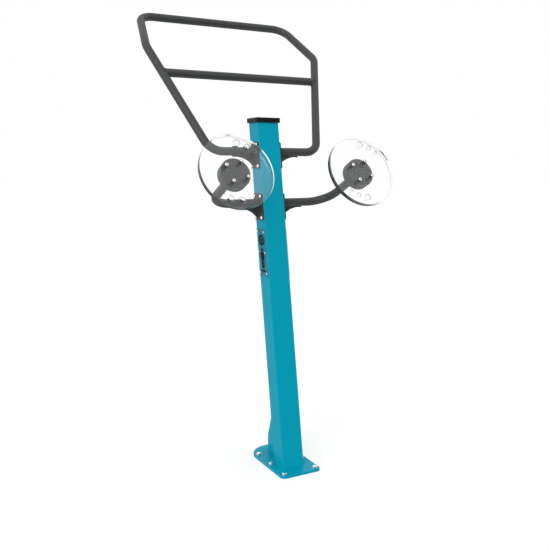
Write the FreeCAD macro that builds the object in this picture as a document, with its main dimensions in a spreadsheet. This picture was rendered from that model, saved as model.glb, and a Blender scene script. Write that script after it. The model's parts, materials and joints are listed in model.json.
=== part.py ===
"""Outdoor fitness combo station, in millimetres.

One hollow post leans to the rear on a bolted base plate. Bracket plates on its two side faces
carry an overhead tube loop with a crossbar, and two bent arms. Each arm ends in a spindle on
which a clear hand wheel turns freely.

+X is to the right seen from the front, +Y to the rear, +Z up. The origin is the centre of the
anchor hole pattern on the underside of the base plate.
"""
import FreeCAD, Part
import math
import os
import re
import Sketcher
from FreeCAD import Placement, Rotation, Vector

# Driving dimensions, in millimetres, degrees and counts, each with what it measures
SIZES = {
    "plate_width": (225, "base plate, across"),
    "plate_front": (165, "base plate, from the pattern centre to the front edge"),
    "plate_tail": (127, "base plate, from the pattern centre to the centre of the round rear end"),
    "plate_thickness": (12, "base plate, thickness"),
    "plate_corner": (25, "base plate, radius of the front corners"),
    "plate_edge": (1.5, "base plate, rounding of the top edge"),
    "anchor_gap": (175, "anchor holes, spacing across"),
    "anchor_pitch": (140, "anchor holes, spacing from row to row"),
    "anchor_hole": (18, "anchor holes, diameter"),
    "anchor_thread": (16, "anchor nuts, thread diameter"),
    "anchor_nut_flats": (24, "anchor nuts, across flats"),
    "anchor_nut_hex": (4.5, "anchor nuts, height of the hexagon"),
    "anchor_nut_dome": (4, "anchor nuts, height of the dome"),
    "anchor_nut_step": (0.5, "anchor nuts, step in from the flats to the dome"),
    "anchor_nut_rim": (0.5, "anchor nuts, upright rim below the rounding of the dome"),
    "anchor_washer": (28, "anchor washers, diameter"),
    "anchor_washer_thickness": (1.5, "anchor washers, thickness"),
    "post_width": (120, "post section, across"),
    "post_depth": (100, "post section, front to rear and square to its axis"),
    "post_wall": (4, "post section, wall"),
    "post_corner": (6, "post section, outer corner radius"),
    "post_lean": (9.1, "post, lean to the rear"),
    "post_top": (1740, "post, height of its level top above the ground"),
    "post_ahead": (30, "post axis at ground level, ahead of the pattern centre"),
    "cap_overhang": (8, "post cap, overhang past the post"),
    "cap_corner": (8, "post cap, corner radius"),
    "cap_band": (9, "post cap, height of the lower band"),
    "cap_groove": (2, "post cap, height of the groove"),
    "cap_groove_depth": (1.5, "post cap, depth of the groove"),
    "cap_crown": (13, "post cap, height of the crown"),
    "cap_edge": (4, "post cap, rounding of the crown"),
    "cap_plug": (25, "post cap, depth of the plug in the post"),
    "cap_plug_wall": (3, "post cap, wall of the plug"),
    "cap_clearance": (0.3, "post cap, gap from plug to post"),
    "fin_thickness": (8, "rear fin, thickness"),
    "fin_reach": (174, "rear fin, length on the base plate"),
    "fin_toe": (75, "rear fin, height of its upright rear edge"),
    "fin_height": (385, "rear fin, height on the post"),
    "fin_tip": (8, "rear fin, width at its top"),
    "tube_diameter": (42.4, "loop, crossbar and arm tube, outside diameter"),
    "tube_wall": (3.2, "loop, crossbar and arm tube, wall"),
    "weld_gap": (0.1, "root gap where a piece is welded against a round tube"),
    "loop_level": (1594, "loop, height of its two lower runs"),
    "loop_low_half": (304, "loop, half width at the lower corners"),
    "loop_mid_half": (502, "loop, half width at the middle bends"),
    "loop_top_half": (444, "loop, half width at the top corners"),
    "loop_side_rise": (536, "loop, rise from lower corners to middle bends"),
    "loop_side_reach": (357, "loop, reach to the rear from lower corners to middle bends"),
    "loop_top_rise": (202, "loop, rise from middle bends to the top bar"),
    "loop_top_reach": (276, "loop, reach to the rear from middle bends to the top bar"),
    "loop_bend": (90, "loop, bend radius on the tube axis"),
    "crossbar_rise": (397, "crossbar, height above the lower runs"),
    "bracket_width": (95, "bracket plates, width"),
    "bracket_height": (132, "bracket plates, height"),
    "bracket_thickness": (6, "bracket plates, thickness"),
    "bracket_corner": (8, "bracket plates, corner radius"),
    "bracket_drop": (18, "bracket plates, centre below the tube axis"),
    "bolt_gap": (64, "bracket bolts, spacing across"),
    "bolt_rise": (106, "bracket bolts, spacing up"),
    "bolt_diameter": (10, "bracket and wheel bolts, diameter"),
    "bolt_hole": (11, "bracket and wheel bolts, clearance holes"),
    "bolt_head": (18, "bracket and wheel bolts, head diameter"),
    "bolt_head_height": (5.5, "bracket and wheel bolts, head height"),
    "bolt_dome": (4, "bracket and wheel bolts, rounding of the head"),
    "bolt_socket": (6, "bracket and wheel bolts, socket across flats"),
    "bolt_socket_depth": (3, "bracket and wheel bolts, socket depth"),
    "bolt_spare": (3, "bracket bolts, length past the weld nut"),
    "thread_clearance": (0.05, "radial gap between a bolt and the thread it sits in"),
    "weld_nut_width": (17, "square weld nuts inside the post, width"),
    "weld_nut_height": (8, "square weld nuts inside the post, height"),
    "gusset_thickness": (6, "bracket gussets, thickness"),
    "gusset_reach": (122, "bracket gussets, length along the tube"),
    "gusset_drop": (52, "bracket gussets, height on the bracket plate"),
    "gusset_toe": (6, "bracket gussets, width left at the two toes"),
    "gusset_hollow": (130, "bracket gussets, radius of the hollow edge"),
    "arm_level": (1336, "arms, height of the run that leaves the post"),
    "arm_bend": (120, "arms, bend radius on the tube axis"),
    "arm_pitch": (26, "arms, climb of the forward run"),
    "arm_forward": (352, "arms, from the sideways run's axis to the back of the wheel disc"),
    "wheel_out": (337, "wheels, from the middle plane to the wheel axis"),
    "disc_diameter": (360, "wheel discs, diameter"),
    "disc_thickness": (25, "wheel discs, thickness"),
    "disc_edge": (1.2, "wheel discs, rounding of the rim"),
    "wheel_turn": (59, "wheels, angle of the first bolt at rest"),
    "bolt_circle": (112, "wheel bolts, pitch circle"),
    "bolt_depth": (20, "wheel bolts, depth of their holes in the hub"),
    "bolt_end_gap": (1, "wheel bolts, gap left at the bottom of their holes"),
    "wheel_washer": (20, "wheel bolt washers, diameter of the flange"),
    "wheel_washer_thickness": (1.5, "wheel bolt washers, thickness of the flange"),
    "sleeve_outside": (15, "wheel bolt washers, outside diameter of the sleeve in the disc"),
    "sleeve_clearance": (0.2, "wheel discs, radial gap round a sleeve"),
    "sleeve_end_gap": (0.5, "wheel bolt washers, gap from the sleeve to the hub cover"),
    "hole_circle": (284, "holes near the rim, pitch circle"),
    "big_hole": (29, "largest rim hole, diameter"),
    "mid_hole": (22, "middle rim hole, diameter"),
    "small_hole": (15, "smallest rim hole, diameter"),
    "big_hole_angle": (21, "largest rim hole, angle from the middle one"),
    "small_hole_angle": (17, "smallest rim hole, angle from the middle one"),
    "hole_group_turn": (187, "rim holes, angle from the first group of three to the second"),
    "hub_diameter": (146, "hubs, diameter"),
    "hub_edge": (5, "hubs, rounding of the rear edge"),
    "hub_lip": (4, "hubs, rear lip behind the bearings"),
    "clip_room": (3, "hubs, room for the clips in front of the bearings"),
    "cover_thickness": (4, "hub covers, thickness"),
    "bearing_bore": (25, "ball bearings, bore"),
    "bearing_outside": (47, "ball bearings, outside diameter"),
    "bearing_width": (12, "ball bearings, width"),
    "bearing_gap": (12, "spacers between the two bearings, width"),
    "bearing_play": (3.6, "ball bearings, open space between the rings"),
    "ball_diameter": (6.4, "ball bearings, ball diameter"),
    "ball_count": (10, "ball bearings, balls in each"),
    "race_clearance": (0.04, "radial gap between a ball and its race"),
    "seat_clearance": (0.02, "radial gap between a bearing ring and its seat"),
    "spindle_shoulder": (32, "spindles, diameter of the shoulder behind the bearings"),
    "spindle_neck": (4, "spindles, shoulder left showing behind the hub"),
    "spindle_collar": (6, "spindles, collar welded to the arm's end"),
    "spindle_plug": (40, "spindles, plug inside the arm tube"),
    "spindle_tip_gap": (0.6, "spindles, gap from the tip to the hub cover"),
    "plug_clearance": (0.1, "spindles, radial gap from plug to tube"),
    "seal_outside": (42, "shaft seals, outside diameter"),
    "seal_clearance": (0.05, "shaft seals, radial gap to the shoulder"),
    "clip_thickness": (1.2, "retaining clips, thickness"),
    "clip_depth": (1.2, "retaining clips, depth in their grooves"),
    "clip_width": (3, "retaining clips, width of the ring"),
    "clip_clearance": (0.05, "retaining clips, gap to the sides of their grooves"),
    "sign_width": (100, "signs, width"),
    "sign_height": (243, "signs, height"),
    "sign_thickness": (3, "signs, thickness"),
    "sign_corner": (4, "signs, corner radius"),
    "sign_level": (1088, "signs, height of their centre"),
    "screw_gap": (68, "sign screws, spacing across"),
    "screw_pitch": (104, "sign screws, spacing from row to row"),
    "screw_diameter": (5, "sign screws, diameter"),
    "screw_hole": (5.5, "sign screws, clearance holes in the sign"),
    "screw_head": (10, "sign screws, head diameter"),
    "screw_head_height": (3, "sign screws, head height"),
    "screw_dome": (2, "sign screws, rounding of the head"),
    "screw_socket": (3, "sign screws, socket across flats"),
    "screw_socket_depth": (1.5, "sign screws, socket depth"),
    "screw_spare": (3, "sign screws, length past the post wall"),
}

SIDES = {"left": -1, "right": 1}
X_AXIS, Y_AXIS, Z_AXIS = Vector(1, 0, 0), Vector(0, 1, 0), Vector(0, 0, 1)
# Places and directions closer than this count as the same
NEAR = 1e-4

doc = FreeCAD.newDocument("fitness_station")
sheet = doc.addObject("Spreadsheet::Sheet", "Sizes")
for row, (alias, (value, note)) in enumerate(SIZES.items(), start=1):
    sheet.set(f"A{row}", alias)
    sheet.set(f"B{row}", str(value))
    sheet.setAlias(f"B{row}", alias)
    sheet.set(f"C{row}", note)
doc.recompute()

nodes = []


def tie(text):
    """An expression in which every size names its cell in the sheet."""
    return re.sub(r"[a-z_]+", lambda word: f"Sizes.{word[0]}" if word[0] in SIZES else word[0], text)


def num(text):
    """The present value of an expression."""
    return float(sheet.evalExpression(tie(text)))


def bind(thing, **values):
    """Bind properties to expressions; a double underscore stands for a dot."""
    for path, text in values.items():
        thing.setExpression(path.replace("__", "."), tie(text))


def place(thing, x="0", y="0", z="0", axis=Z_AXIS, turn="0"):
    """Bind a placement to expressions."""
    thing.Placement = Placement(Vector(num(x), num(y), num(z)), Rotation(axis, num(turn) or 1))
    bind(thing, Placement__Base__x=x, Placement__Base__y=y, Placement__Base__z=z)
    bind(thing, Placement__Rotation__Angle=turn)


def keep(thing, label):
    """Name a finished sub-part and list it for writing."""
    thing.Label = label
    nodes.append(thing)
    return thing


def post_axis(level):
    """The post axis's place along Y at a height."""
    return f"({level}) * tan(post_lean) - post_ahead"


# Sketches and features

def new_body(name, **spot):
    body = doc.addObject("PartDesign::Body", name)
    place(body, **spot)
    return body


def new_sketch(body, plane="XY_Plane", lift="0"):
    sketch = body.newObject("Sketcher::SketchObject", f"{body.Name}_sketch")
    support = next(item for item in body.Origin.OriginFeatures if item.Role == plane)
    sketch.AttachmentSupport = (support, [""])
    sketch.MapMode = "FlatFace"
    bind(sketch, AttachmentOffset__Base__z=lift)
    return sketch


def fix_point(sketch, shape, end, x, y):
    """Hold one end of a sketch shape at bound distances from the sketch's origin."""
    for kind, text in (("DistanceX", x), ("DistanceY", y)):
        index = sketch.addConstraint(Sketcher.Constraint(kind, -1, 1, shape, end, num(text)))
        sketch.setExpression(f"Constraints[{index}]", tie(text))


def fix_radius(sketch, shape, radius):
    index = sketch.addConstraint(Sketcher.Constraint("Radius", shape, num(radius)))
    sketch.setExpression(f"Constraints[{index}]", tie(radius))


def add_polygon(sketch, points):
    """A closed outline through points given as pairs of expressions."""
    ends = [Vector(num(x), num(y), 0) for x, y in points]
    first = sketch.GeometryCount
    for index, start in enumerate(ends):
        sketch.addGeometry(Part.LineSegment(start, ends[(index + 1) % len(ends)]), False)
    for index, (x, y) in enumerate(points):
        follower = first + (index + 1) % len(points)
        sketch.addConstraint(Sketcher.Constraint("Coincident", first + index, 2, follower, 1))
        fix_point(sketch, first + index, 1, x, y)
    return sketch


def add_circle(sketch, x, y, radius):
    centre = Vector(num(x), num(y), 0)
    shape = sketch.addGeometry(Part.Circle(centre, Z_AXIS, num(radius)), False)
    fix_point(sketch, shape, 3, x, y)
    fix_radius(sketch, shape, radius)
    return sketch


def add_hexagon(sketch, flats):
    """A regular hexagon about the sketch's origin, with two flats along its X axis."""
    corners = [(f"{flats} / sqrt(3) * cos({turn})", f"{flats} / sqrt(3) * sin({turn})")
               for turn in range(0, 360, 60)]
    return add_polygon(sketch, corners)


def add_rounded_rectangle(sketch, width, depth, corner):
    """A rectangle about the sketch's origin with four equal round corners."""
    half_x, half_y, radius = num(width) / 2, num(depth) / 2, num(corner)
    in_x, in_y = half_x - radius, half_y - radius
    quarter = math.pi / 2
    first = sketch.GeometryCount
    sides = [((-in_x, -half_y), (in_x, -half_y)), ((half_x, -in_y), (half_x, in_y)),
             ((in_x, half_y), (-in_x, half_y)), ((-half_x, in_y), (-half_x, -in_y))]
    centres = [(in_x, -in_y), (in_x, in_y), (-in_x, in_y), (-in_x, -in_y)]
    for index, ((start, end), centre) in enumerate(zip(sides, centres)):
        sketch.addGeometry(Part.LineSegment(Vector(*start, 0), Vector(*end, 0)), False)
        circle = Part.Circle(Vector(*centre, 0), Z_AXIS, radius)
        sketch.addGeometry(Part.ArcOfCircle(circle, (index - 1) * quarter, index * quarter), False)
    for index in range(8):
        pair = (first + index, 2, first + (index + 1) % 8, 1)
        sketch.addConstraint(Sketcher.Constraint("Tangent", *pair))
    for index, kind in ((0, "Horizontal"), (2, "Vertical"), (4, "Horizontal"), (6, "Vertical")):
        sketch.addConstraint(Sketcher.Constraint(kind, first + index))
    for index in (3, 5, 7):
        sketch.addConstraint(Sketcher.Constraint("Equal", first + 1, first + index))
    fix_radius(sketch, first + 1, corner)
    reaches = [(0, "DistanceY", f"-({depth}) / 2"), (2, "DistanceX", f"({width}) / 2"),
               (4, "DistanceY", f"({depth}) / 2"), (6, "DistanceX", f"-({width}) / 2")]
    for index, kind, text in reaches:
        row = sketch.addConstraint(Sketcher.Constraint(kind, -1, 1, first + index, 1, num(text)))
        sketch.setExpression(f"Constraints[{row}]", tie(text))
    return sketch


def add_pad(body, sketch, length, symmetric=False, flip=False, lean=False):
    pad = body.newObject("PartDesign::Pad", f"{body.Name}_pad")
    pad.Profile = sketch
    pad.SideType = "Symmetric" if symmetric else "One side"
    pad.Reversed = flip
    if lean:
        pad.UseCustomVector = True
        pad.AlongSketchNormal = True
        pad.Direction = Vector(0, num("tan(post_lean)"), 1)
        bind(pad, Direction__y="tan(post_lean)")
    bind(pad, Length=length)
    doc.recompute()
    return pad


def add_pocket(body, sketch, length=None, flip=False):
    """Cut a sketch through the whole body, or to a length on one side."""
    before = body.Shape.Volume
    pocket = body.newObject("PartDesign::Pocket", f"{body.Name}_pocket")
    pocket.Profile = sketch
    if length is None:
        pocket.Type = "ThroughAll"
        pocket.SideType = "Symmetric"
    else:
        pocket.Type = "Length"
        bind(pocket, Length=length)
        pocket.Reversed = flip
    doc.recompute()
    if body.Shape.Volume >= before:
        raise RuntimeError(f"{pocket.Name} cuts nothing")
    return pocket


def add_turned(body, points):
    """A solid of revolution about the body's Z axis from pairs of radius and height."""
    sketch = add_polygon(new_sketch(body, "XZ_Plane"), points)
    turned = body.newObject("PartDesign::Revolution", f"{body.Name}_turned")
    turned.Profile = sketch
    turned.ReferenceAxis = (sketch, ["V_Axis"])
    turned.Angle = 360
    doc.recompute()
    return turned


def add_fillet(body, radius, wanted):
    """Round the edges of the body's last feature that a test picks out."""
    base = body.Tip
    names = [f"Edge{index}" for index, edge in enumerate(base.Shape.Edges, start=1) if wanted(edge)]
    if not names:
        raise RuntimeError(f"{body.Name} has no edge to round")
    fillet = body.newObject("PartDesign::Fillet", f"{body.Name}_fillet")
    fillet.Base = (base, names)
    bind(fillet, Radius=radius)
    doc.recompute()
    return fillet


def along(direction):
    """A test for straight edges along a direction."""
    def test(edge):
        if edge.Curve.TypeId != "Part::GeomLine":
            return False
        return edge.tangentAt(edge.FirstParameter).cross(direction).Length < NEAR
    return test


def ring_at(radius, height):
    """A test for full circles of a radius at a height in the body's own frame."""
    wanted_radius, wanted_height = num(radius), num(height)

    def test(edge):
        if edge.Curve.TypeId != "Part::GeomCircle":
            return False
        curve = edge.Curve
        return abs(curve.Radius - wanted_radius) < NEAR and abs(curve.Center.z - wanted_height) < NEAR
    return test


def copies(label, master, spots):
    """One node with a copy of a master piece at each spot."""
    links = []
    for spot in spots:
        link = doc.addObject("App::Link", f"{label}_copy")
        link.LinkedObject = master
        link.LinkTransform = False
        place(link, **spot)
        links.append(link)
    group = doc.addObject("Part::Compound", label)
    group.Links = links
    return keep(group, label)


# Base plate, post, cap and fin

def base_plate():
    body = new_body("base_plate")
    half = "plate_width / 2"
    outline = [(f"-{half}", "-plate_front"), (half, "-plate_front"),
               (half, "plate_tail"), (f"-{half}", "plate_tail")]
    add_pad(body, add_polygon(new_sketch(body), outline), "plate_thickness")
    add_pad(body, add_circle(new_sketch(body), "0", "plate_tail", half), "plate_thickness")
    front = -num("plate_front")
    upright = along(Z_AXIS)
    add_fillet(body, "plate_corner",
               lambda edge: upright(edge) and abs(edge.CenterOfMass.y - front) < NEAR)
    top = num("plate_thickness")
    add_fillet(body, "plate_edge", lambda edge: edge.BoundBox.ZMin > top - NEAR)
    holes = new_sketch(body)
    for x, y in anchor_spots():
        add_circle(holes, x, y, "anchor_hole / 2")
    add_pocket(body, holes)
    return keep(body, "base_plate")


def anchor_spots():
    return [(f"{side} * anchor_gap / 2", f"{step} * anchor_pitch")
            for side in (-1, 1) for step in (-1, 0, 1)]


def anchor_hardware():
    washer = new_body("anchor_washer_master")
    hole, rim = "anchor_hole / 2", "anchor_washer / 2"
    thick = "anchor_washer_thickness"
    add_turned(washer, [(hole, "0"), (rim, "0"), (rim, thick), (hole, thick)])
    nut = new_body("anchor_nut_master")
    add_pad(nut, add_hexagon(new_sketch(nut), "anchor_nut_flats"), "anchor_nut_hex")
    dome_radius = "anchor_nut_flats / 2 - anchor_nut_step"
    dome = add_circle(new_sketch(nut), "0", "0", dome_radius)
    height = "anchor_nut_hex + anchor_nut_dome"
    add_pad(nut, dome, height)
    add_fillet(nut, "anchor_nut_dome - anchor_nut_rim", ring_at(dome_radius, height))
    bore = add_circle(new_sketch(nut), "0", "0", "anchor_thread / 2 + thread_clearance")
    add_pocket(nut, bore, "anchor_nut_hex", flip=True)
    level = "plate_thickness"
    copies("anchor_washers", washer, [dict(x=x, y=y, z=level) for x, y in anchor_spots()])
    above = f"{level} + {thick}"
    copies("anchor_nuts", nut, [dict(x=x, y=y, z=above) for x, y in anchor_spots()])


POST_DEPTH_LEVEL = "post_depth / cos(post_lean)"
POST_BORE = "post_width - 2 * post_wall"
POST_BORE_DEPTH = "(post_depth - 2 * post_wall) / cos(post_lean)"


def leaning(across, up):
    """A point on a side face, from its distances across and up, as the post leans."""
    return f"{across} + ({up}) * tan(post_lean)", up


def grid(gap, rise, rows):
    """Two columns of points on a side face, in rows about the centre."""
    return [leaning(f"{side} * {gap} / 2", f"{step} * {rise}") for side in (-1, 1) for step in rows]


def bolt_grid():
    return grid("bolt_gap", "bolt_rise / 2", (-1, 1))


def screw_grid():
    return grid("screw_gap", "screw_pitch", (-1, 0, 1))


def post():
    body = new_body("post", y="-post_ahead")
    section = new_sketch(body, lift="plate_thickness")
    # The section is centred where the leaning axis crosses the plate's top
    bind(section, AttachmentOffset__Base__y="plate_thickness * tan(post_lean)")
    add_rounded_rectangle(section, "post_width", POST_DEPTH_LEVEL, "post_corner")
    add_rounded_rectangle(section, POST_BORE, POST_BORE_DEPTH, "post_corner - post_wall")
    add_pad(body, section, "post_top - plate_thickness", lean=True)
    holes = new_sketch(body, "YZ_Plane")
    for level, spots, radius in (
            ("loop_level - bracket_drop", bolt_grid(), "bolt_hole / 2"),
            ("arm_level - bracket_drop", bolt_grid(), "bolt_hole / 2"),
            ("sign_level", screw_grid(), "screw_diameter / 2 + thread_clearance")):
        for y, z in spots:
            add_circle(holes, f"({level}) * tan(post_lean) + {y}", f"{level} + {z}", radius)
    add_pocket(body, holes)
    return keep(body, "post")


def post_cap():
    body = new_body("post_cap", y=post_axis("post_top"), z="post_top")
    wide = "post_width + 2 * cap_overhang"
    deep = f"{POST_DEPTH_LEVEL} + 2 * cap_overhang"
    corner = "cap_corner"
    cut = "2 * cap_groove_depth"
    levels = [("0", "0", "cap_band"), (cut, "cap_band", "cap_groove"),
              ("0", "cap_band + cap_groove", "cap_crown")]
    for inset, lift, height in levels:
        band = new_sketch(body, lift=lift)
        add_rounded_rectangle(band, f"{wide} - {inset}", f"{deep} - {inset}", f"{corner} - {inset} / 2")
        add_pad(body, band, height)
    top = num("cap_band + cap_groove + cap_crown")
    add_fillet(body, "cap_edge", lambda edge: edge.BoundBox.ZMin > top - NEAR)
    plug = new_sketch(body)
    slack, walls = "2 * cap_clearance", "2 * (cap_clearance + cap_plug_wall)"
    round_plug = "post_corner - post_wall"
    add_rounded_rectangle(plug, f"{POST_BORE} - {slack}", f"{POST_BORE_DEPTH} - {slack}", round_plug)
    hollow = [(f"{x} * ({POST_BORE} - {walls}) / 2", f"{y} * ({POST_BORE_DEPTH} - {walls}) / 2")
              for x, y in ((-1, -1), (1, -1), (1, 1), (-1, 1))]
    add_polygon(plug, hollow)
    add_pad(body, plug, "cap_plug", flip=True, lean=True)
    return keep(body, "post_cap")


def rear_fin():
    body = new_body("rear_fin", y="-post_ahead", z="plate_thickness")

    def rear_face(height):
        return f"({height} + plate_thickness) * tan(post_lean) + {POST_DEPTH_LEVEL} / 2"

    foot = rear_face("0")
    heel = f"{foot} + fin_reach"
    outline = [(foot, "0"), (heel, "0"), (heel, "fin_toe"),
               (f"{rear_face('fin_height')} + fin_tip", "fin_height"),
               (rear_face("fin_height"), "fin_height")]
    add_pad(body, add_polygon(new_sketch(body, "YZ_Plane"), outline), "fin_thickness", symmetric=True)
    return keep(body, "rear_fin")


# Overhead loop and crossbar

BRACKET_FACE = "post_width / 2 + bracket_thickness"


def bent_path(points, radius):
    """Straight runs through points, joined by tangent arcs of one radius."""
    edges = []
    start = points[0]
    for before, corner, after in zip(points, points[1:], points[2:]):
        back = (before - corner).normalize()
        ahead = (after - corner).normalize()
        half = back.getAngle(ahead) / 2
        tangent = radius / math.tan(half)
        bisector = (back + ahead).normalize()
        middle = corner + bisector * (radius / math.sin(half) - radius)
        arc_start, arc_end = corner + back * tangent, corner + ahead * tangent
        edges.append(Part.LineSegment(start, arc_start).toShape())
        edges.append(Part.Arc(arc_start, middle, arc_end).toShape())
        start = arc_end
    edges.append(Part.LineSegment(start, points[-1]).toShape())
    return Part.Wire(edges)


def swept(path, radius):
    """A round bar along a path."""
    start = path.Edges[0].firstVertex().Point
    heading = path.Edges[0].tangentAt(path.Edges[0].FirstParameter)
    ring = Part.Wire(Part.Circle(start, heading, radius).toShape())
    return path.makePipeShell([ring], True, False)


def loop_points():
    """The loop's corners from the left bracket round to the right one."""
    level, depth = num("loop_level"), num(post_axis("loop_level"))
    mid = Vector(num("loop_mid_half"), depth + num("loop_side_reach"), level + num("loop_side_rise"))
    top = mid + Vector(num("loop_top_half - loop_mid_half"), num("loop_top_reach"), num("loop_top_rise"))
    low = Vector(num("loop_low_half"), depth, level)
    end = Vector(num(BRACKET_FACE), depth, level)
    right = [top, mid, low, end]
    left = [Vector(-point.x, point.y, point.z) for point in reversed(right)]
    return left + right


def overhead_loop():
    """One bent tube. Its bends lie in different planes, so its path is no flat sketch."""
    path = bent_path(loop_points(), num("loop_bend"))
    bore = num("tube_diameter / 2 - tube_wall")
    tube = doc.addObject("Part::Feature", "overhead_loop")
    tube.Shape = swept(path, num("tube_diameter / 2")).cut(swept(path, bore))
    return keep(tube, "overhead_loop")


def crossbar():
    """A straight tube between the loop's side runs, its ends hollowed to fit round them."""
    mid, low = loop_points()[-3:-1]
    joint = low + (mid - low) * num("crossbar_rise / loop_side_rise")
    bar = doc.addObject("Part::Cylinder", "crossbar_bar")
    bore = doc.addObject("Part::Cylinder", "crossbar_bore")
    for piece, radius in ((bar, "tube_diameter / 2"), (bore, "tube_diameter / 2 - tube_wall")):
        bind(piece, Radius=radius)
        piece.Height = 2 * joint.x
        piece.Placement = Placement(Vector(-joint.x, joint.y, joint.z), Rotation(Y_AXIS, 90))
    tube = doc.addObject("Part::Cut", "crossbar_tube")
    tube.Base, tube.Tool = bar, bore
    for side in SIDES.values():
        run = doc.addObject("Part::Cylinder", "crossbar_saddle")
        bind(run, Radius="tube_diameter / 2 + weld_gap", Height="loop_side_rise")
        heading = Vector(side * (mid.x - low.x), mid.y - low.y, mid.z - low.z).normalize()
        spot = Vector(side * joint.x, joint.y, joint.z) - heading * num("loop_side_rise / 2")
        run.Placement = Placement(spot, Rotation(Z_AXIS, heading))
        coped = doc.addObject("Part::Cut", "crossbar_coped")
        coped.Base, coped.Tool = tube, run
        tube = coped
    return keep(tube, "crossbar")


# Brackets and what holds them

def face_plate(name, side, level, width, height, corner, thickness, holes, hole):
    """A plate on a side face, level at top and bottom, with sides that follow the post."""
    body = new_body(name, x=f"{side} * post_width / 2", y=post_axis(level), z=level)
    outline = [leaning(f"{across} * {width} / 2", f"{up} * {height} / 2")
               for across, up in ((-1, -1), (1, -1), (1, 1), (-1, 1))]
    sketch = add_polygon(new_sketch(body, "YZ_Plane"), outline)
    add_pad(body, sketch, thickness, flip=side < 0)
    add_fillet(body, corner, along(X_AXIS))
    pattern = new_sketch(body, "YZ_Plane")
    for y, z in holes:
        add_circle(pattern, y, z, f"{hole} / 2")
    add_pocket(body, pattern)
    return keep(body, name)


def domed_bolt(name, shank, length, head, height, dome, socket, depth):
    """A bolt with its shank below the XY plane and a domed socket head above it."""
    body = new_body(name)
    radius, rim = f"{shank} / 2", f"{head} / 2"
    add_turned(body, [("0", f"-({length})"), (radius, f"-({length})"), (radius, "0"), (rim, "0"),
                      (rim, height), ("0", height)])
    add_fillet(body, dome, ring_at(rim, height))
    key = add_hexagon(new_sketch(body, lift=height), socket)
    add_pocket(body, key, depth)
    return body


def face_spots(side, level, points, x):
    """Placements on a side face, with the piece's Z axis pointing out of it."""
    return [dict(x=f"{side} * ({x})", y=f"{post_axis(level)} + {y}", z=f"{level} + {z}",
                 axis=Y_AXIS, turn=f"{side} * 90") for y, z in points]


def bracket(name, side, tube_level, bolt):
    """A bracket plate with its gusset under the tube and its four bolts."""
    level = f"{tube_level} - bracket_drop"
    face_plate(f"{name}_bracket", side, level, "bracket_width", "bracket_height", "bracket_corner",
               "bracket_thickness", bolt_grid(), "bolt_hole")
    gusset(f"{name}_gusset", side, tube_level)
    copies(f"{name}_bolts", bolt, face_spots(side, level, bolt_grid(), BRACKET_FACE))


def gusset(name, side, level):
    """A web with a hollow lower edge between the tube's underside and the bracket plate."""
    body = new_body(name, y=post_axis(level), z=level)
    under = "tube_diameter / 2"
    root, reach = BRACKET_FACE, f"{BRACKET_FACE} + gusset_reach"
    toe, drop = f"{under} + gusset_toe", f"{under} + gusset_drop"
    inside = f"{under} - tube_wall"
    corners = [(root, inside), (reach, inside), (reach, toe), (f"{root} + gusset_toe", drop), (root, drop)]
    outline = [(f"{side} * ({x})", f"-({z})") for x, z in corners]
    sketch = add_polygon(new_sketch(body, "XZ_Plane"), outline)
    add_pad(body, sketch, "gusset_thickness", symmetric=True)
    run, fall = "(gusset_reach - gusset_toe)", "(gusset_drop - gusset_toe)"
    chord = f"sqrt({run} ^ 2 + {fall} ^ 2)"
    stand = f"sqrt(gusset_hollow ^ 2 - ({chord} / 2) ^ 2) / {chord}"
    x = f"{root} + (gusset_reach + gusset_toe) / 2 + {fall} * {stand}"
    z = f"{under} + (gusset_drop + gusset_toe) / 2 + {run} * {stand}"
    hollow = add_circle(new_sketch(body, "XZ_Plane"), f"{side} * ({x})", f"-({z})", "gusset_hollow")
    add_pocket(body, hollow)
    saddle = add_circle(new_sketch(body, "YZ_Plane"), "0", "0", f"{under} + weld_gap")
    add_pocket(body, saddle)
    return keep(body, name)


def weld_nut():
    body = new_body("weld_nut_master")
    half = "weld_nut_width / 2"
    square = [(f"{x} * {half}", f"{y} * {half}") for x, y in ((-1, -1), (1, -1), (1, 1), (-1, 1))]
    sketch = add_polygon(new_sketch(body), square)
    add_circle(sketch, "0", "0", "bolt_diameter / 2 + thread_clearance")
    add_pad(body, sketch, "weld_nut_height", flip=True)
    return body


def bracket_groups():
    length = "bracket_thickness + post_wall + weld_nut_height + bolt_spare"
    bolt = domed_bolt("bracket_bolt_master", "bolt_diameter", length, "bolt_head", "bolt_head_height",
                      "bolt_dome", "bolt_socket", "bolt_socket_depth")
    nut = weld_nut()
    levels = ("loop_level", "arm_level")
    for word, side in SIDES.items():
        bracket(f"{word}_loop", side, "loop_level", bolt)
        bracket(f"{word}_arm", side, "arm_level", bolt)
        spots = [spot for level in levels for spot in face_spots(
            side, f"{level} - bracket_drop", bolt_grid(), "post_width / 2 - post_wall")]
        copies(f"{word}_weld_nuts", nut, spots)


def signs():
    length = "sign_thickness + post_wall + screw_spare"
    screw = domed_bolt("sign_screw_master", "screw_diameter", length, "screw_head", "screw_head_height",
                       "screw_dome", "screw_socket", "screw_socket_depth")
    for word, side in SIDES.items():
        face_plate(f"{word}_sign", side, "sign_level", "sign_width", "sign_height", "sign_corner",
                   "sign_thickness", screw_grid(), "screw_hole")
        spots = face_spots(side, "sign_level", screw_grid(), "post_width / 2 + sign_thickness")
        copies(f"{word}_sign_screws", screw, spots)


# Arms and wheels. Along a wheel's own Z axis, 0 is the back of the disc and plus is outwards.

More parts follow.
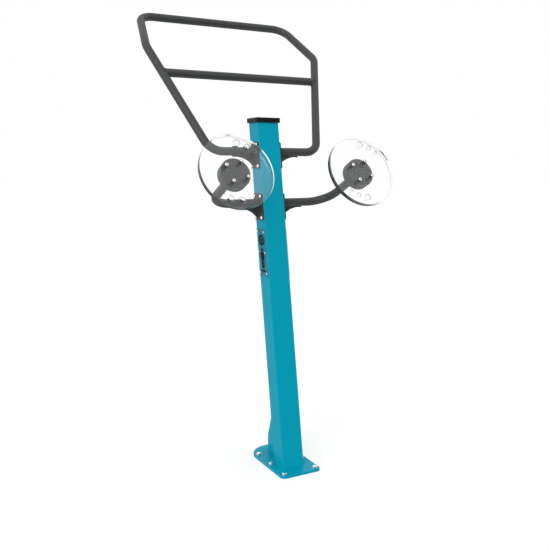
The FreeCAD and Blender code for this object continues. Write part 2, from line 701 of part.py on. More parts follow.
HUB_FRONT = "-cover_thickness"
BEARING_FRONT = f"{HUB_FRONT} - clip_room"
BEARING_MIDDLE = f"{BEARING_FRONT} - bearing_width"
BEARING_REAR = f"{BEARING_MIDDLE} - bearing_gap - bearing_width"
HUB_BACK = f"{BEARING_REAR} - hub_lip"
COLLAR_FRONT = f"{HUB_BACK} - spindle_neck"
ARM_END = f"{COLLAR_FRONT} - spindle_collar"
SPINDLE_TIP = f"{HUB_FRONT} - spindle_tip_gap"
RING_MIDDLE = "(bearing_bore + bearing_outside) / 4"
RING_INNER_TOP = f"{RING_MIDDLE} - bearing_play / 2"
RING_OUTER_BASE = f"{RING_MIDDLE} + bearing_play / 2"
CLIP_FRONT = f"{BEARING_FRONT} + clip_thickness"
GROOVE_FRONT = f"{CLIP_FRONT} + clip_clearance"


def wheel_spot(side):
    """The wheel's frame: its Z axis along the arm's forward run."""
    return dict(x=f"{side} * wheel_out", y=f"{post_axis('arm_level')} - arm_forward * cos(arm_pitch)",
                z="arm_level + arm_forward * sin(arm_pitch)", axis=X_AXIS, turn="90 - arm_pitch")


def arm(word, side):
    """A bent tube in one plane, from the bracket plate sideways and then forward and up."""
    name = f"{word}_arm"
    body = new_body(name, y=post_axis("arm_level"), z="arm_level", axis=X_AXIS, turn="-arm_pitch")
    out, bend, end = "wheel_out", "arm_bend", f"-(arm_forward + {ARM_END})"
    corner = f"{side} * ({out} - {bend})"
    points = [(f"{side} * ({BRACKET_FACE})", "0"), (corner, "0"),
              (f"{side} * {out}", f"-{bend}"), (f"{side} * {out}", end)]
    spots = [Vector(num(x), num(y), 0) for x, y in points]
    centre = Vector(num(corner), -num(bend), 0)
    diagonal = Vector(side, 1, 0).normalize()
    path = new_sketch(body)
    path.addGeometry(Part.LineSegment(spots[0], spots[1]), False)
    path.addGeometry(Part.Arc(spots[1], centre + diagonal * num(bend), spots[2]), False)
    path.addGeometry(Part.LineSegment(spots[2], spots[3]), False)
    arc_first, arc_last = (2, 1) if side > 0 else (1, 2)
    path.addConstraint(Sketcher.Constraint("Coincident", 0, 2, 1, arc_first))
    path.addConstraint(Sketcher.Constraint("Coincident", 1, arc_last, 2, 1))
    fix_point(path, 0, 1, *points[0])
    fix_point(path, 0, 2, *points[1])
    fix_point(path, 2, 1, *points[2])
    fix_point(path, 2, 2, *points[3])
    fix_radius(path, 1, bend)
    section = new_sketch(body, "YZ_Plane", lift=points[0][0])
    add_circle(section, "0", "0", "tube_diameter / 2")
    add_circle(section, "0", "0", "tube_diameter / 2 - tube_wall")
    pipe = body.newObject("PartDesign::AdditivePipe", f"{name}_pipe")
    pipe.Profile = section
    pipe.Spine = (path, ["Edge1", "Edge2", "Edge3"])
    doc.recompute()
    return keep(body, f"{name}_tube")


def turned_piece(name, side, points):
    """A turned piece of a wheel, from pairs of radius and height."""
    body = new_body(name, **wheel_spot(side))
    add_turned(body, points)
    return keep(body, name)


def ring_outline(inner, outer, low, high):
    return [(inner, low), (outer, low), (outer, high), (inner, high)]


def spindle(word, side):
    seat, shoulder = "bearing_bore / 2 - seat_clearance", "spindle_shoulder / 2"
    plug = "tube_diameter / 2 - tube_wall - plug_clearance"
    groove = f"{seat} - clip_depth"
    plug_end = f"{ARM_END} - spindle_plug"
    turned_piece(f"{word}_spindle", side, [
        ("0", plug_end), (plug, plug_end), (plug, ARM_END), ("tube_diameter / 2", ARM_END),
        ("tube_diameter / 2", COLLAR_FRONT), (shoulder, COLLAR_FRONT), (shoulder, BEARING_REAR),
        (seat, BEARING_REAR), (seat, BEARING_FRONT), (groove, BEARING_FRONT), (groove, GROOVE_FRONT),
        (seat, GROOVE_FRONT), (seat, SPINDLE_TIP), ("0", SPINDLE_TIP)])


def bearing_ring(name, inner, outer):
    """One ring of a bearing with its round race, from its rear face up."""
    body = new_body(name)
    add_turned(body, ring_outline(inner, outer, "0", "bearing_width"))
    race = add_circle(new_sketch(body, "XZ_Plane"), RING_MIDDLE, "bearing_width / 2",
                      "ball_diameter / 2 + race_clearance")
    groove = body.newObject("PartDesign::Groove", f"{name}_race")
    groove.Profile = race
    groove.ReferenceAxis = (race, ["V_Axis"])
    groove.Angle = 360
    doc.recompute()
    return body


def bearings(word, side, inner_ring, outer_ring, ball):
    """Two ball bearings, with the spacers between their rings and the clips before them."""
    rows = (BEARING_REAR, BEARING_MIDDLE)
    for label, ring in (("inner", inner_ring), ("outer", outer_ring)):
        group = copies(f"{word}_bearing_{label}_rings", ring, [dict(z=row) for row in rows])
        place(group, **wheel_spot(side))
    step = "360 / ball_count"
    ring = [polar(RING_MIDDLE, f"{index} * {step}") for index in range(round(num("ball_count")))]
    spots = [dict(x=x, y=y, z=f"{row} + bearing_width / 2") for row in rows for x, y in ring]
    place(copies(f"{word}_bearing_balls", ball, spots), **wheel_spot(side))
    low, high = f"{BEARING_REAR} + bearing_width", BEARING_MIDDLE
    bore, outside = "bearing_bore / 2", "bearing_outside / 2"
    turned_piece(f"{word}_inner_spacer", side, ring_outline(bore, RING_INNER_TOP, low, high))
    turned_piece(f"{word}_outer_spacer", side, ring_outline(RING_OUTER_BASE, outside, low, high))
    seat = f"{bore} - seat_clearance - clip_depth + clip_clearance"
    turned_piece(f"{word}_spindle_clip", side,
                 ring_outline(seat, f"{seat} + clip_width", BEARING_FRONT, CLIP_FRONT))
    rim = f"{outside} + seat_clearance + clip_depth - clip_clearance"
    turned_piece(f"{word}_hub_clip", side,
                 ring_outline(f"{rim} - clip_width", rim, BEARING_FRONT, CLIP_FRONT))


def polar(radius, angle):
    """A point in a wheel's XY plane from its radius and angle."""
    return f"({radius}) * cos({angle})", f"({radius}) * sin({angle})"


def wheel_bolt_spots():
    return [polar("bolt_circle / 2", f"wheel_turn + {turn}") for turn in range(0, 360, 90)]


def add_holes(body, spots, radius, length=None, lift="0"):
    pattern = new_sketch(body, lift=lift)
    for x, y in spots:
        add_circle(pattern, x, y, radius)
    add_pocket(body, pattern, length)


def hub(word, side):
    """A turned hub with a bearing seat open to the front and four blind threaded holes."""
    name = f"{word}_hub"
    body = new_body(name, **wheel_spot(side))
    rim, seat, lip = "hub_diameter / 2", "bearing_outside / 2 + seat_clearance", "seal_outside / 2"
    groove = f"{seat} + clip_depth"
    add_turned(body, [(lip, HUB_BACK), (rim, HUB_BACK), (rim, HUB_FRONT), (seat, HUB_FRONT),
                      (seat, GROOVE_FRONT), (groove, GROOVE_FRONT), (groove, BEARING_FRONT),
                      (seat, BEARING_FRONT), (seat, BEARING_REAR), (lip, BEARING_REAR)])
    add_fillet(body, "hub_edge", ring_at(rim, HUB_BACK))
    thread = "bolt_diameter / 2 + thread_clearance"
    add_holes(body, wheel_bolt_spots(), thread, "bolt_depth", lift=HUB_FRONT)
    keep(body, name)
    turned_piece(f"{word}_shaft_seal", side, ring_outline(
        "spindle_shoulder / 2 + seal_clearance", lip, HUB_BACK, BEARING_REAR))


def hub_cover(word, side):
    body = new_body(f"{word}_hub_cover", **wheel_spot(side))
    add_turned(body, ring_outline("0", "hub_diameter / 2", HUB_FRONT, "0"))
    add_holes(body, wheel_bolt_spots(), "bolt_hole / 2")
    return keep(body, f"{word}_hub_cover")


def wheel_disc(word, side):
    """A clear disc with bolt holes and two groups of three rim holes."""
    name = f"{word}_wheel_disc"
    body = new_body(name, **wheel_spot(side))
    rim, thick = "disc_diameter / 2", "disc_thickness"
    add_turned(body, ring_outline("0", rim, "0", thick))
    add_fillet(body, "disc_edge", lambda edge: ring_at(rim, "0")(edge) or ring_at(rim, thick)(edge))
    add_holes(body, wheel_bolt_spots(), "sleeve_outside / 2 + sleeve_clearance")
    trio = (("big_hole", "big_hole_angle"), ("mid_hole", "0"), ("small_hole", "-small_hole_angle"))
    for size, angle in trio:
        spots = [polar("hole_circle / 2", f"wheel_turn + {angle} + {turn}")
                 for turn in ("0", "hole_group_turn")]
        add_holes(body, spots, f"{size} / 2")
    return keep(body, name)


def wheels():
    inner_ring = bearing_ring("inner_ring_master", "bearing_bore / 2", RING_INNER_TOP)
    outer_ring = bearing_ring("outer_ring_master", RING_OUTER_BASE, "bearing_outside / 2")
    ball = doc.addObject("Part::Sphere", "ball_master")
    bind(ball, Radius="ball_diameter / 2")
    length = "wheel_washer_thickness + disc_thickness + cover_thickness + bolt_depth - bolt_end_gap"
    bolt = domed_bolt("wheel_bolt_master", "bolt_diameter", length, "bolt_head", "bolt_head_height",
                      "bolt_dome", "bolt_socket", "bolt_socket_depth")
    washer = new_body("wheel_washer_master")
    bore, sleeve, flange = "bolt_hole / 2", "sleeve_outside / 2", "wheel_washer / 2"
    end, front = "-(disc_thickness - sleeve_end_gap)", "wheel_washer_thickness"
    # A flanged washer, with its sleeve below the XY plane
    add_turned(washer, [(bore, end), (sleeve, end), (sleeve, "0"), (flange, "0"), (flange, front),
                        (bore, front)])
    for word, side in SIDES.items():
        arm(word, side)
        spindle(word, side)
        bearings(word, side, inner_ring, outer_ring, ball)
        hub(word, side)
        hub_cover(word, side)
        wheel_disc(word, side)
        for label, master, level in (("washers", washer, "disc_thickness"),
                                     ("bolts", bolt, "disc_thickness + wheel_washer_thickness")):
            spots = [dict(x=x, y=y, z=level) for x, y in wheel_bolt_spots()]
            group = copies(f"{word}_wheel_{label}", master, spots)
            place(group, **wheel_spot(side))


def write_nodes():
    """Test every object of the document, then write each sub-part to its own file."""
    doc.recompute()
    for item in doc.Objects:
        if {"Invalid", "Error"} & set(item.State):
            raise RuntimeError(f"{item.Label} failed: {item.State}")
    for node in nodes:
        if node.Shape.isNull() or not node.Shape.isValid() or not node.Shape.Solids:
            raise RuntimeError(f"{node.Label} has no valid solid")
    os.makedirs("parts", exist_ok=True)
    for node in nodes:
        node.Shape.exportStep(f"parts/{node.Label}.step")
        print(f"{node.Label}: {len(node.Shape.Solids)} solid(s), {node.Shape.Volume / 1000:.1f} cm3")


base_plate()
anchor_hardware()
post()
post_cap()
rear_fin()
overhead_loop()
crossbar()
bracket_groups()
signs()
wheels()
write_nodes()
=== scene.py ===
"""Looks of an outdoor fitness station, built round its fixed frame.

The frame holds every steel, plastic and bearing piece at its place. This file gives them their
finishes, models the clear hand wheels, the weld beads and the sign prints, and sets up the studio.
All lengths are in metres.
"""
import json
import math

import bpy
from mathutils import Matrix, Vector


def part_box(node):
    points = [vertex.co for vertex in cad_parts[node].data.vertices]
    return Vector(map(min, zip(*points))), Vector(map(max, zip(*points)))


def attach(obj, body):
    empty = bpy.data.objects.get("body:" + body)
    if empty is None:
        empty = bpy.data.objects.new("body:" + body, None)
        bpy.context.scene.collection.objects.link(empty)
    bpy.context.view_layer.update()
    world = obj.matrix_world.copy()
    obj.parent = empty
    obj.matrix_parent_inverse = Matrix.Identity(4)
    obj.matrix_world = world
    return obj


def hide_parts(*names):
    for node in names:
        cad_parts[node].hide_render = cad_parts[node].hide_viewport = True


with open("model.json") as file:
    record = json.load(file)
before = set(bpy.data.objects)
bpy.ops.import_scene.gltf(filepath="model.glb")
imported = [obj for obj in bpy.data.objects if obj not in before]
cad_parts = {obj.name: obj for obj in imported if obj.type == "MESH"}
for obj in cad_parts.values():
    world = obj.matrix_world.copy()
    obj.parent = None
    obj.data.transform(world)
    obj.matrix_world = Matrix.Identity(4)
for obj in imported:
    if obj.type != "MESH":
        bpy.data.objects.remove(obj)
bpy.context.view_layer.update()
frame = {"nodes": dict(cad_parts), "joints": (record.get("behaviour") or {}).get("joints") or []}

bl_info = {
    "name": "Outdoor fitness station",
    "version": (1, 0, 0),
    "blender": (4, 5, 0),
    "location": "3D View > Sidebar > Station",
    "description": "Finishes, clear hand wheels, weld beads, sign prints and studio of the station",
    "category": "Object",
}

SIDES = {"left": -1, "right": 1}
# Numbers of the frame's axes
ACROSS, UP = 0, 2
X_AXIS, Z_AXIS = Vector((1, 0, 0)), Vector((0, 0, 1))
WHITE = (1, 1, 1, 1)
# Places closer than this count as the same
NEAR = 1e-6


def span(node, axis):
    """A node's length along one axis of the frame."""
    low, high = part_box(node)
    return high[axis] - low[axis]


# What a user may change

class StationFinish(bpy.types.PropertyGroup):
    """Colours and surface textures"""
    teal: bpy.props.FloatVectorProperty(
        name="Post paint", description="Powder coat of the post, base plate and fin",
        subtype="COLOR", size=4, min=0, max=1, default=(0.0, 0.33, 0.462, 1))
    grey: bpy.props.FloatVectorProperty(
        name="Tube paint", description="Powder coat of the tubes, brackets and hubs",
        subtype="COLOR", size=4, min=0, max=1, default=(0.048, 0.051, 0.052, 1))
    black: bpy.props.FloatVectorProperty(
        name="Black plastic", description="Moulded plastic of the post cap and the wheel washers",
        subtype="COLOR", size=4, min=0, max=1, default=(0.009, 0.009, 0.009, 1))
    rubber: bpy.props.FloatVectorProperty(
        name="Seal rubber", description="Rubber of the shaft seals",
        subtype="COLOR", size=4, min=0, max=1, default=(0.02, 0.02, 0.02, 1))
    stainless: bpy.props.FloatVectorProperty(
        name="Stainless steel",
        description="Bolts, nuts, screws, anchor washers, spindles, bearing rings, spacers and clips",
        subtype="COLOR", size=4, min=0, max=1, default=(0.90, 0.885, 0.86, 1))
    bearing: bpy.props.FloatVectorProperty(
        name="Bearing steel", description="Balls of the bearings",
        subtype="COLOR", size=4, min=0, max=1, default=(0.62, 0.63, 0.65, 1))
    clear: bpy.props.FloatVectorProperty(
        name="Clear plastic", description="Tint of the clear wheel discs",
        subtype="COLOR", size=4, min=0, max=1, default=(0.985, 0.995, 0.992, 1))
    # Frost of the drilled walls, and painted shade on the discs' rounded front edges: a grey line in
    # place of the one that bending light draws there
    hole_frost_and_edge_shade: bpy.props.FloatVectorProperty(
        name="Holes and edges", description="Shade of the hole walls and rounded edges of the discs",
        subtype="COLOR", size=4, min=0, max=1, default=(0.25, 0.26, 0.26, 1))
    # Painted shade: a near-black tint on the clear discs' rims in place of the dark band that bending
    # light gives them
    rim_painted_shade: bpy.props.FloatVectorProperty(
        name="Disc rims", description="Deep tint of the rims of the discs",
        subtype="COLOR", size=4, min=0, max=1, default=(0.012, 0.016, 0.016, 1))
    sign: bpy.props.FloatVectorProperty(
        name="Sign plastic", description="Tint of the see-through signs",
        subtype="COLOR", size=4, min=0, max=1, default=(0.10, 0.25, 0.28, 1))
    ink: bpy.props.FloatVectorProperty(
        name="Sign ink", description="Printed marks on the signs",
        subtype="COLOR", size=4, min=0, max=1, default=(0.006, 0.012, 0.014, 1))
    peel_size: bpy.props.FloatProperty(
        name="Orange peel", description="Width of one dimple in the powder coat",
        subtype="DISTANCE", unit="LENGTH", default=0.0024)
    peel_depth: bpy.props.FloatProperty(
        name="Peel depth", description="Depth of the dimples in the powder coat",
        subtype="DISTANCE", unit="LENGTH", default=0.00012)


class StationWheel(bpy.types.PropertyGroup):
    """Sizes of the clear hand wheels"""
    diameter: bpy.props.FloatProperty(
        name="Disc diameter", description="Outside diameter of a disc",
        subtype="DISTANCE", unit="LENGTH", default=span("left_wheel_disc", ACROSS))
    thickness: bpy.props.FloatProperty(
        name="Disc thickness", description="Thickness of a disc",
        subtype="DISTANCE", unit="LENGTH", default=0.025)
    edge: bpy.props.FloatProperty(
        name="Rim rounding", description="Rounding of the rim's two edges",
        subtype="DISTANCE", unit="LENGTH", default=0.0012)
    rim_split: bpy.props.FloatProperty(
        name="Rim split", description="Share of the rim's width that its back strip takes",
        subtype="FACTOR", min=0, max=1, default=0.6)
    hole_edge: bpy.props.FloatProperty(
        name="Hole rounding", description="Rounding of the hole edges",
        subtype="DISTANCE", unit="LENGTH", default=0.002)
    turn: bpy.props.FloatProperty(
        name="First bolt", description="Angle of the first bolt at rest",
        subtype="ANGLE", unit="ROTATION", default=math.radians(59))
    bolt_circle: bpy.props.FloatProperty(
        name="Bolt circle", description="Pitch circle of the four bolts",
        subtype="DISTANCE", unit="LENGTH", default=0.112)
    bolt_hole: bpy.props.FloatProperty(
        name="Bolt hole", description="Diameter of the bolt holes",
        subtype="DISTANCE", unit="LENGTH", default=0.0154)
    hole_circle: bpy.props.FloatProperty(
        name="Hole circle", description="Pitch circle of the holes near the rim",
        subtype="DISTANCE", unit="LENGTH", default=0.284)
    hole_sizes: bpy.props.FloatVectorProperty(
        name="Rim holes", description="Diameters of one group of three rim holes",
        subtype="XYZ_LENGTH", unit="LENGTH", size=3, default=(0.029, 0.022, 0.015))
    hole_angles: bpy.props.FloatVectorProperty(
        name="Rim hole angles", description="Angles of one group from the first bolt",
        subtype="EULER", unit="ROTATION", size=3,
        default=(math.radians(21), 0, math.radians(-17)))
    group_turn: bpy.props.FloatProperty(
        name="Second group", description="Angle from one group of holes to the other",
        subtype="ANGLE", unit="ROTATION", default=math.radians(187))


class StationWeld(bpy.types.PropertyGroup):
    """Sizes of the weld beads"""
    post_bead: bpy.props.FloatProperty(
        name="Post bead", description="Width of the beads at the post and the fin",
        subtype="DISTANCE", unit="LENGTH", default=0.008)
    tube_bead: bpy.props.FloatProperty(
        name="Tube bead", description="Width of the beads at the tubes and gussets",
        subtype="DISTANCE", unit="LENGTH", default=0.006)
    pitch: bpy.props.FloatProperty(
        name="Ripple pitch", description="Distance from ripple to ripple",
        subtype="DISTANCE", unit="LENGTH", default=0.004)
    ripple: bpy.props.FloatProperty(
        name="Ripple", description="Share of the bead's width that the ripples take",
        subtype="FACTOR", min=0, max=1, default=0.16)
    post_lean: bpy.props.FloatProperty(
        name="Post lean", description="Lean of the post to the rear",
        subtype="ANGLE", unit="ROTATION", default=math.radians(9.1))
    post_depth: bpy.props.FloatProperty(
        name="Post depth", description="Depth of the post, square to its axis",
        subtype="DISTANCE", unit="LENGTH", default=0.1)
    post_corner: bpy.props.FloatProperty(
        name="Post corner", description="Outer corner radius of the post",
        subtype="DISTANCE", unit="LENGTH", default=0.006)
    side_run: bpy.props.FloatVectorProperty(
        name="Side run", description="The loop's right side, from its lower corner to its upper one",
        subtype="XYZ_LENGTH", unit="LENGTH", size=3, default=(0.198, 0.357, 0.536))
    collar_back: bpy.props.FloatProperty(
        name="Collar", description="From the disc's back to the weld at the arm's end",
        subtype="DISTANCE", unit="LENGTH", default=0.057)


class StationStudio(bpy.types.PropertyGroup):
    """Camera, floor and light"""
    camera_place: bpy.props.FloatVectorProperty(
        name="Camera", description="Place of the camera",
        subtype="TRANSLATION", unit="LENGTH", size=3, default=(-1.68905, -3.02686, 1.52063))
    camera_turn: bpy.props.FloatVectorProperty(
        name="Camera turn", description="Tilt, roll and heading of the camera",
        subtype="EULER", unit="ROTATION", size=3,
        default=(math.radians(81.237), 0, math.radians(-28.2)))
    camera_lens: bpy.props.FloatProperty(
        name="Lens", description="Focal length on a 36 mm sensor, in millimetres",
        subtype="DISTANCE_CAMERA", unit="CAMERA", default=46.145)
    floor_size: bpy.props.FloatProperty(
        name="Floor", description="Side of the floor",
        subtype="DISTANCE", unit="LENGTH", default=120)
    floor_grey: bpy.props.FloatProperty(
        name="Floor shade", description="How much light the floor throws back",
        subtype="FACTOR", min=0, max=1, default=0.4)
    floor_glow: bpy.props.FloatProperty(
        name="Floor white", description="What brings the lit floor up to white in the picture",
        subtype="FACTOR", min=0, max=1, default=0.63)
    sky_high: bpy.props.FloatProperty(
        name="Light above", description="Light of the surroundings from straight above", default=0.86)
    sky_low: bpy.props.FloatProperty(
        name="Light around", description="Light of the surroundings from the horizon", default=0.88)
    key: bpy.props.FloatProperty(
        name="Key lamp", description="Strength of the soft lamp at the front left", default=1.35)
    key_from: bpy.props.FloatVectorProperty(
        name="Key place", description="Direction of the key lamp",
        subtype="DIRECTION", size=3, default=(-0.74, -0.6, 0.34))
    key_spread: bpy.props.FloatProperty(
        name="Key spread", description="Width of the key lamp as seen from the station",
        subtype="ANGLE", unit="ROTATION", default=math.radians(40))
    screen_place: bpy.props.FloatVectorProperty(
        name="Screen", description="Middle of the dark screen in front of the station",
        subtype="TRANSLATION", unit="LENGTH", size=3, default=(0, -2.2, 1.35))
    screen_size: bpy.props.FloatVectorProperty(
        name="Screen size", description="Width and height of the dark screen",
        subtype="XYZ_LENGTH", unit="LENGTH", size=2, default=(12, 2.7))


# Shader maths

# Sockets of a Mix node that mixes colours
MIX_FACTOR, MIX_LOW, MIX_HIGH, MIX_RESULT = 0, 6, 7, 2


def shaded(colour, factor):
    """A colour made darker or lighter."""
    return (*(min(1, channel * factor) for channel in colour[:3]), 1)


class Wire:
    """A socket of a node tree. Sums, differences and products of wires add their Math nodes."""

    def __init__(self, tree, socket=None):
        self.tree = tree
        self.socket = socket

    def node(self, kind, settings=None, sockets=None, output=0):
        """Add a node, set it up, feed its sockets and return one of its outputs."""
        made = self.tree.nodes.new(kind)
        for name, value in (settings or {}).items():
            setattr(made, name, value)
        for key, value in (sockets or {}).items():
            self.feed(made.inputs[key], value)
        return Wire(self.tree, made.outputs[output])

    def feed(self, socket, value):
        """Link a wire to a socket, or set the socket to a plain value."""
        if isinstance(value, Wire):
            self.tree.links.new(value.socket, socket)
        else:
            socket.default_value = value

    def maths(self, operation, first, second):
        """A Math node of two values."""
        return self.node("ShaderNodeMath", {"operation": operation}, {0: first, 1: second})

    def __add__(self, other):
        return self.maths("ADD", self, other)

    def __sub__(self, other):
        return self.maths("SUBTRACT", self, other)

    def __rsub__(self, other):
        return self.maths("SUBTRACT", other, self)

    def __mul__(self, other):
        return self.maths("MULTIPLY", self, other)

    __radd__ = __add__
    __rmul__ = __mul__

    def shades(self, colour, darkest, lightest):
        """The colour made darker where this value is 0 and lighter where it is 1."""
        sockets = {MIX_FACTOR: self, MIX_LOW: shaded(colour, darkest), MIX_HIGH: shaded(colour, lightest)}
        return self.node("ShaderNodeMix", {"data_type": "RGBA"}, sockets, MIX_RESULT)


class Finish:
    """A material in the making: its node tree, its surface shader and its own coordinates."""

    def __init__(self, name):
        self.material = bpy.data.materials.new(name)
        self.material.use_nodes = True
        tree = self.material.node_tree
        self.shader = tree.nodes["Principled BSDF"]
        self.tree = Wire(tree)
        self.place = self.tree.node("ShaderNodeTexCoord", output="Object")

    def noise(self, size, detail=2.0, stretch=None):
        """Soft random spots about so wide, from 0 to 1, drawn out along an axis if asked."""
        place = self.place
        if stretch:
            place = self.tree.node("ShaderNodeMapping", sockets={"Vector": place, "Scale": stretch})
        sockets = {"Vector": place, "Scale": 1 / size, "Detail": detail}
        return self.tree.node("ShaderNodeTexNoise", sockets=sockets)

    def bump(self, height, depth):
        """The normal of a roughened surface, from a height and the depth that a height of 1 means."""
        return self.tree.node("ShaderNodeBump", sockets={"Height": height, "Distance": depth})

    def surface(self, **values):
        """Set or link the surface shader's sockets; an underscore stands for a space."""
        for name, value in values.items():
            self.tree.feed(self.shader.inputs[name.replace("_", " ")], value)
        return self.material


# Finishes

# How strongly solid clear plastic bends light, and how little a disc's faces do, so that what
# stands behind a disc is seen near its place
PLASTIC_IOR, FACE_IOR = 1.48, 1.03


def powder_coat(name, colour, gloss, rough, look):
    """Satin powder coat: an even colour with faint clouds, fine grain and orange peel."""
    coat = Finish(name)
    clouds = coat.noise(size=0.16, detail=3)
    grain = coat.noise(size=look.peel_size / 3)
    peel = coat.noise(size=look.peel_size, detail=1)
    return coat.surface(
        Base_Color=clouds.shades(colour, darkest=0.96, lightest=1.04),
        Roughness=rough + 0.12 * grain,
        Specular_IOR_Level=gloss,
        Normal=coat.bump(peel + 0.3 * grain, look.peel_depth))


def moulded_plastic(name, colour, grain_size):
    """Moulded plastic or rubber with a fine even grain."""
    plastic = Finish(name)
    grain = plastic.noise(grain_size)
    clouds = plastic.noise(size=0.05)
    return plastic.surface(
        Base_Color=clouds.shades(colour, darkest=0.85, lightest=1.2),
        Roughness=0.45 + 0.15 * grain,
        Specular_IOR_Level=0.2,
        Normal=plastic.bump(grain, depth=grain_size / 8))


def turned_steel(name, colour, rough):
    """Bright steel with fine tool marks."""
    steel = Finish(name)
    marks = steel.noise(size=0.0012, stretch=(0.15, 1, 1))
    smears = steel.noise(size=0.008)
    return steel.surface(
        Base_Color=smears.shades(colour, darkest=0.93, lightest=1.05),
        Metallic=1.0,
        Roughness=rough + 0.12 * marks,
        Normal=steel.bump(marks, depth=0.00004))


def clear_plastic(name, colour):
    """Polished clear plastic that hardly bends light, with glossy faces and faint wipe marks."""
    clear = Finish(name)
    wipes = clear.noise(size=0.02, detail=3, stretch=(1, 0.2, 0.2))
    return clear.surface(
        Base_Color=colour,
        Roughness=0.012 * wipes,
        IOR=FACE_IOR,
        Transmission_Weight=1.0,
        Coat_Weight=1.0,
        Coat_Roughness=0.01,
        Coat_IOR=PLASTIC_IOR)


def front_rim(name, colour):
    """The front strip of a disc's rim: tinted near black as painted shade for the dark band that bending
    light gives it from outside, and bright from within.
    """
    rim_painted_shade = Finish(name)
    marks = rim_painted_shade.noise(size=0.002)
    return rim_painted_shade.surface(
        Base_Color=colour,
        Roughness=0.1 + 0.05 * marks,
        IOR=PLASTIC_IOR,
        Transmission_Weight=1.0)


def back_rim(name, colour):
    """The back strip of a disc's rim: painted dark from outside as the shade that bending light would
    give it, and faint from within.
    """
    rim_painted_shade = Finish(name)
    marks = rim_painted_shade.noise(size=0.002)
    # Small for rays that meet the rim squarely, and 1 for those it would mirror from within
    mirror = rim_painted_shade.tree.node("ShaderNodeFresnel", sockets={"IOR": PLASTIC_IOR})
    return rim_painted_shade.surface(
        Base_Color=colour,
        Roughness=0.18 + 0.05 * marks,
        # Opaque painted shade where the rim is met squarely, nearly see-through where it would mirror
        Alpha=1.15 - 1.05 * mirror)


def ground_plastic(name, colour, cover):
    """Clear plastic with a fine ground surface that hides a share of what lies behind it."""
    ground = Finish(name)
    marks = ground.noise(size=0.001)
    return ground.surface(
        Base_Color=marks.shades(colour, darkest=0.9, lightest=1.1),
        Roughness=0.4,
        Alpha=cover + 0.06 * marks)


def sign_plastic(name, colour):
    """See-through tinted plastic with a faint brushed sheen."""
    sign = Finish(name)
    streaks = sign.noise(size=0.004, stretch=(1, 1, 0.1))
    return sign.surface(
        Base_Color=streaks.shades(colour, darkest=0.9, lightest=1.1),
        Roughness=0.22 + 0.1 * streaks,
        Specular_IOR_Level=0.3,
        Alpha=0.18)


def sign_ink(name, colour):
    """Screen print, slightly uneven."""
    ink = Finish(name)
    patches = ink.noise(size=0.003)
    return ink.surface(
        Base_Color=patches.shades(colour, darkest=0.8, lightest=1.4),
        Roughness=0.5 + 0.2 * patches,
        Specular_IOR_Level=0.05)


def finishes(scene):
    """All finishes by name, made once: those of the frame's slots, the discs' trim and the ink."""
    made = {m.name: m for m in bpy.data.materials if m.get("station_finish")}
    if made:
        return made
    look = scene.station_finish
    for material in (
            powder_coat("teal_powder_coat", look.teal, gloss=0.06, rough=0.22, look=look),
            powder_coat("grey_powder_coat", look.grey, gloss=0.3, rough=0.40, look=look),
            moulded_plastic("cap_plastic", look.black, grain_size=0.0009),
            moulded_plastic("seal_rubber", look.rubber, grain_size=0.0006),
            turned_steel("bright_stainless", look.stainless, rough=0.18),
            turned_steel("ground_bearing_steel", look.bearing, rough=0.12),
            clear_plastic("clear_disc_plastic", look.clear),
            # The rim strips carry painted shade, a dark tint in place of the rims' bending of light
            front_rim("front_rim", look.rim_painted_shade),
            back_rim("back_rim", look.rim_painted_shade),
            ground_plastic("drilled_wall", look.hole_frost_and_edge_shade, cover=0.05),
            # Painted shade: the rounded front edges mostly hide what lies behind, a grey line in place of
            # the edge's bending of light
            ground_plastic("rounded_edge", look.hole_frost_and_edge_shade, cover=0.85),
            sign_plastic("tinted_sign_plastic", look.sign),
            sign_ink("black_sign_ink", look.ink)):
        material["station_finish"] = True
        made[material.name] = material
    return made


# The record's slots and the finish that each one gets
SLOT_FINISH = {
    "teal_paint": "teal_powder_coat",
    "grey_paint": "grey_powder_coat",
    "black_plastic": "cap_plastic",
    "black_rubber": "seal_rubber",
    "stainless": "bright_stainless",
    "bearing_steel": "ground_bearing_steel",
    "clear_plastic": "clear_disc_plastic",
    "sign_plastic": "tinted_sign_plastic",
}


def finish_nodes(scene, *slots):
    """Give every frame node of these slots its finish."""
    made = finishes(scene)
    for node in frame["nodes"].values():
        slot = node.material_slots[0]
        if slot.name in slots:
            slot.material = made[SLOT_FINISH[slot.name]]


# Modelling by operators

def deselect():
    """Leave no object selected."""
    bpy.ops.object.select_all(action="DESELECT")


def choose(*pieces):
    """Select these objects alone, with the first one active."""
    deselect()
    for piece in pieces:
        piece.select_set(True)
    bpy.context.view_layer.objects.active = pieces[0]


def settle():
    """Move the place, turn and scale of the selected piece into its mesh."""
    bpy.ops.object.transform_apply(location=True, rotation=True, scale=True)


def join(name, pieces):
    """Make one object of several, at the origin."""
    choose(*pieces)
    if len(pieces) > 1:
        bpy.ops.object.join()
    piece = bpy.context.object
    piece.name = piece.data.name = name
    settle()
    return piece


def copy_of(master, name):
    """A copy of an object, with a mesh of its own."""
    piece = master.copy()
    piece.data = master.data.copy()
    piece.name = piece.data.name = name
    bpy.context.collection.objects.link(piece)
    return piece


def leave_edit():
    """Go back to object mode, which brings the mesh up to date."""
    bpy.ops.object.mode_set(mode="OBJECT")


def edit_all(piece):
    """Go into edit mode with the whole mesh selected."""
    choose(piece)
    bpy.ops.object.mode_set(mode="EDIT")
    bpy.ops.mesh.select_all(action="SELECT")


